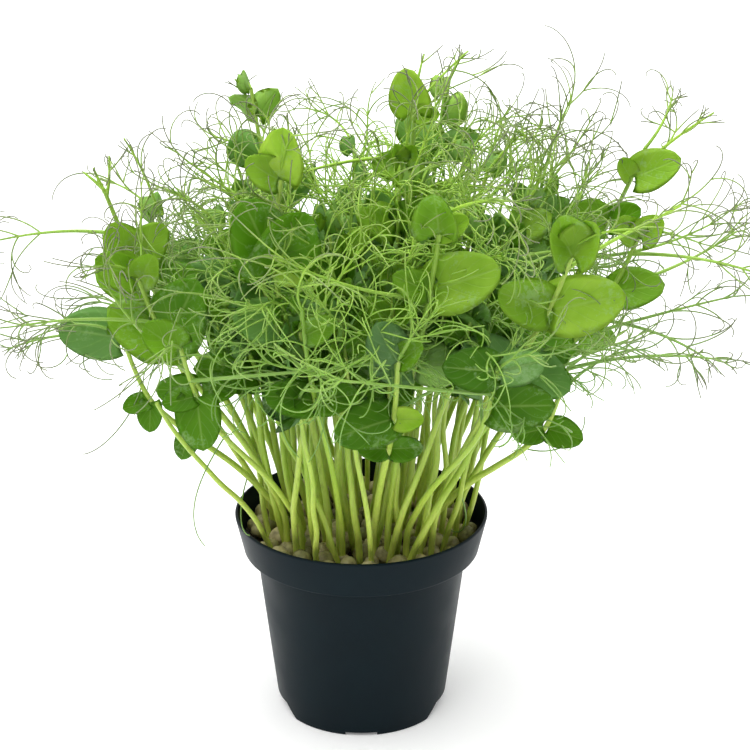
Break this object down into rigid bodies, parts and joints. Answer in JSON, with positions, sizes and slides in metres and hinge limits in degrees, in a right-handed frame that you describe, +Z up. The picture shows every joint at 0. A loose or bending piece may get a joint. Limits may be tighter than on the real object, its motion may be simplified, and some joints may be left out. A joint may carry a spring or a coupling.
{
  "type": "pot of pea shoots",
  "caption": "Clump of pea shoots with clasping leaf pairs and branched curling tendrils, growing from sprouted peas in a round black nursery pot.",
  "frame": {"origin": "on the pot's axis, in the surface that its feet stand on", "axes": "+Z up along the pot's axis; the wide gaps under the pot open towards -X and +X and the narrow ones towards -Y and +Y; the side with the brightest leaf pairs faces -Y"},
  "size_m": [0.3626, 0.3231, 0.3299],
  "materials": {
    "pot_plastic": "satin moulded polypropylene",
    "growing_medium": "moist peat and coir fibre",
    "peas": "dull swollen seed coats",
    "stems": "smooth waxy plant stem, paler towards the foot",
    "leaves": "satin leaf with pale veins and silvery flecks",
    "tendrils": "fine smooth plant fibre"
  },
  "bodies": {
    "root": {"pot": "pot_plastic", "growing_medium": "growing_medium", "sprouted_peas": "peas", "shoot_01_stem": "stems", "shoot_01_leaves": "leaves", "shoot_01_tendrils": "tendrils", "shoot_02_stem": "stems", "shoot_02_leaves": "leaves", "shoot_02_tendrils": "tendrils", "shoot_03_stem": "stems", "shoot_03_leaves": "leaves", "shoot_03_tendrils": "tendrils", "shoot_04_stem": "stems", "shoot_04_leaves": "leaves", "shoot_04_tendrils": "tendrils", "shoot_05_stem": "stems", "shoot_05_leaves": "leaves", "shoot_05_tendrils": "tendrils", "shoot_06_stem": "stems", "shoot_06_leaves": "leaves", "shoot_06_tendrils": "tendrils", "shoot_07_stem": "stems", "shoot_07_leaves": "leaves", "shoot_07_tendrils": "tendrils", "shoot_08_stem": "stems", "shoot_08_leaves": "leaves", "shoot_08_tendrils": "tendrils", "shoot_09_stem": "stems", "shoot_09_leaves": "leaves", "shoot_09_tendrils": "tendrils", "shoot_10_stem": "stems", "shoot_10_leaves": "leaves", "shoot_10_tendrils": "tendrils", "shoot_11_stem": "stems", "shoot_11_leaves": "leaves", "shoot_11_tendrils": "tendrils", "shoot_12_stem": "stems", "shoot_12_leaves": "leaves", "shoot_12_tendrils": "tendrils", "shoot_13_stem": "stems", "shoot_13_leaves": "leaves", "shoot_13_tendrils": "tendrils", "shoot_14_stem": "stems", "shoot_14_leaves": "leaves", "shoot_14_tendrils": "tendrils", "shoot_15_stem": "stems", "shoot_15_leaves": "leaves", "shoot_15_tendrils": "tendrils", "shoot_16_stem": "stems", "shoot_16_leaves": "leaves", "shoot_16_tendrils": "tendrils", "shoot_17_stem": "stems", "shoot_17_leaves": "leaves", "shoot_17_tendrils": "tendrils", "shoot_18_stem": "stems", "shoot_18_leaves": "leaves", "shoot_18_tendrils": "tendrils", "shoot_19_stem": "stems", "shoot_19_leaves": "leaves", "shoot_19_tendrils": "tendrils"}
  },
  "joints": []
}
